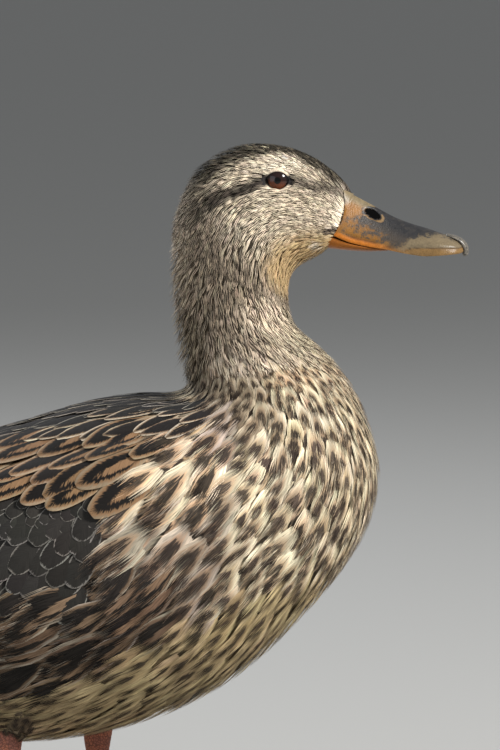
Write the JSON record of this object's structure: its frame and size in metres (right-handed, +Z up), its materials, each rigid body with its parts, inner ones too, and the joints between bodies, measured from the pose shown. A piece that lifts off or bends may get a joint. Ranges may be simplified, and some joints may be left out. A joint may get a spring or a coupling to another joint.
{
  "type": "female mallard duck",
  "caption": "A life-size standing female mallard with raised head, folded wings, short tail and webbed feet, as a still display model.",
  "frame": {"origin": "on the floor, halfway between the tips of the bill and the tail, in the bird's middle plane", "axes": "+X towards the bill, +Y to the bird's left, +Z up"},
  "size_m": [0.3818, 0.146, 0.2936],
  "materials": {
    "head_plumage": "short soft feathers, finely streaked dark on buff",
    "body_plumage": "soft feathers, cream-buff with dark brown centres",
    "wing_plumage": "smooth dark grey-brown vanes with pale edges",
    "tail_plumage": "smooth vanes, pale buff with brown marks",
    "bill": "satin horn, orange sides and a blue-black saddle",
    "bill_nail": "satin dark horn",
    "eye": "wet, with a reddish brown iris and black pupil",
    "leg_skin": "small scales, dull orange-red",
    "claw": "smooth dark horn"
  },
  "bodies": {
    "root": {"head": "head_plumage", "neck": "head_plumage", "trunk": "body_plumage", "bill_upper": "bill", "bill_lower": "bill", "bill_nail": "bill_nail", "tail": "tail_plumage", "eye_right": "eye", "wing_right": "wing_plumage", "wing_tip_right": "wing_plumage", "thigh_right": "body_plumage", "shank_right": "leg_skin", "foot_right": "leg_skin", "hallux_right": "leg_skin", "claw_inner_right": "claw", "claw_middle_right": "claw", "claw_outer_right": "claw", "eye_left": "eye", "wing_left": "wing_plumage", "wing_tip_left": "wing_plumage", "thigh_left": "body_plumage", "shank_left": "leg_skin", "foot_left": "leg_skin", "hallux_left": "leg_skin", "claw_inner_left": "claw", "claw_middle_left": "claw", "claw_outer_left": "claw"}
  },
  "joints": []
}
